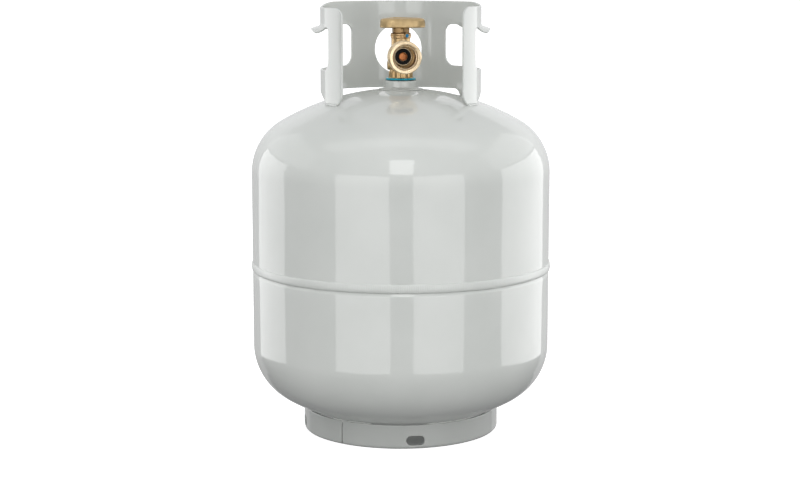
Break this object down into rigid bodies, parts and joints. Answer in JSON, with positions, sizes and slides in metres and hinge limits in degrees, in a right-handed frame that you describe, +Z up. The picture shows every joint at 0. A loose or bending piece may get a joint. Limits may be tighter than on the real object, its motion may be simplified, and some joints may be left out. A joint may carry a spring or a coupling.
{
  "type": "refillable propane tank",
  "caption": "Upright steel gas cylinder with dished ends, girth weld, foot ring, cut-out guard collar and a brass hand-wheel shut-off valve.",
  "frame": {"origin": "on the floor, under the axis of the tank", "axes": "+Z up along the tank axis, -Y towards the valve outlet and the open front of the collar, +X to the right of a viewer in front"},
  "size_m": [0.3132, 0.3132, 0.446],
  "materials": {
    "tank_paint": "gloss",
    "valve_brass": "cast and tumbled",
    "wheel_brass": "die cast",
    "machined_brass": "turned",
    "copper_alloy": "turned",
    "zinc_steel": "zinc plated",
    "spring_steel": "drawn wire",
    "black_rubber": "matte",
    "blue_sealant": "cured sealant",
    "white_acetal": "moulded",
    "red_acetal": "moulded",
    "float_foam": "closed cell foam"
  },
  "bodies": {
    "tank": {"upper_shell": "tank_paint", "lower_shell": "tank_paint", "girth_weld": "tank_paint", "neck_spud": "tank_paint", "neck_weld": "tank_paint", "guard_collar": "tank_paint", "grip_lips": "tank_paint", "collar_welds": "tank_paint", "foot_ring": "tank_paint", "foot_ring_welds": "tank_paint", "valve_body": "valve_brass", "sealant_ring": "blue_sealant", "bonnet": "valve_brass", "bonnet_lock_pin": "blue_sealant", "outlet_seal": "black_rubber", "check_retainer": "machined_brass", "check_spring": "spring_steel", "relief_spring": "spring_steel", "relief_adjuster": "machined_brass", "dip_tube": "machined_brass", "opd_housing": "white_acetal", "float_pin": "zinc_steel"},
    "spindle": {"stem": "machined_brass", "stem_o_rings": "black_rubber", "handwheel": "wheel_brass", "handwheel_washer": "zinc_steel", "handwheel_screw": "zinc_steel"},
    "shutoff_plug": {"plug": "machined_brass", "seat_disc": "white_acetal"},
    "outlet_check": {"check_plunger": "copper_alloy"},
    "relief_valve": {"relief_poppet": "machined_brass", "relief_seal": "black_rubber"},
    "level_gauge_screw": {"bleed_screw": "zinc_steel"},
    "overfill_stop": {"opd_poppet": "red_acetal"},
    "float_lever": {"float_arm": "white_acetal", "float": "float_foam"}
  },
  "joints": [
    {"name": "handwheel_turn", "type": "hinge", "parent": "tank", "child": "spindle", "pos_m": [0, 0, 0.42399], "axis": [0, 0, 1], "range_deg": [0, 720]},
    {"name": "plug_lift", "type": "slide", "parent": "spindle", "child": "shutoff_plug", "axis": [0, 0, 1], "range_m": [0, 0.0045]},
    {"name": "outlet_check_push", "type": "slide", "parent": "tank", "child": "outlet_check", "axis": [-0.1132, 0.9936, 0], "range_m": [0, 0.0035], "stiffness_N_per_m": 900, "springref_m": -0.002, "deforming": ["check_spring"]},
    {"name": "relief_lift", "type": "slide", "parent": "tank", "child": "relief_valve", "axis": [-0.1132, 0.9936, 0], "range_m": [0, 0.0014], "stiffness_N_per_m": 12000, "springref_m": -0.004, "deforming": ["relief_spring"]},
    {"name": "level_gauge_turn", "type": "hinge", "parent": "tank", "child": "level_gauge_screw", "pos_m": [-0.01192, -0.00136, 0.38149], "axis": [-0.9936, -0.1132, 0], "range_deg": [0, 360]},
    {"name": "float_swing", "type": "hinge", "parent": "tank", "child": "float_lever", "pos_m": [0.00298, 0.00034, 0.32799], "axis": [0.1132, -0.9936, 0], "range_deg": [0, 60]},
    {"name": "overfill_lift", "type": "slide", "parent": "tank", "child": "overfill_stop", "axis": [0, 0, 1], "range_m": [0, 0.0032]}
  ],
  "couplings": [
    {"joint": "plug_lift", "follows": "handwheel_turn", "m_per_rad": 0.000358},
    {"joint": "overfill_lift", "follows": "float_swing", "m_per_rad": 0.003}
  ]
}
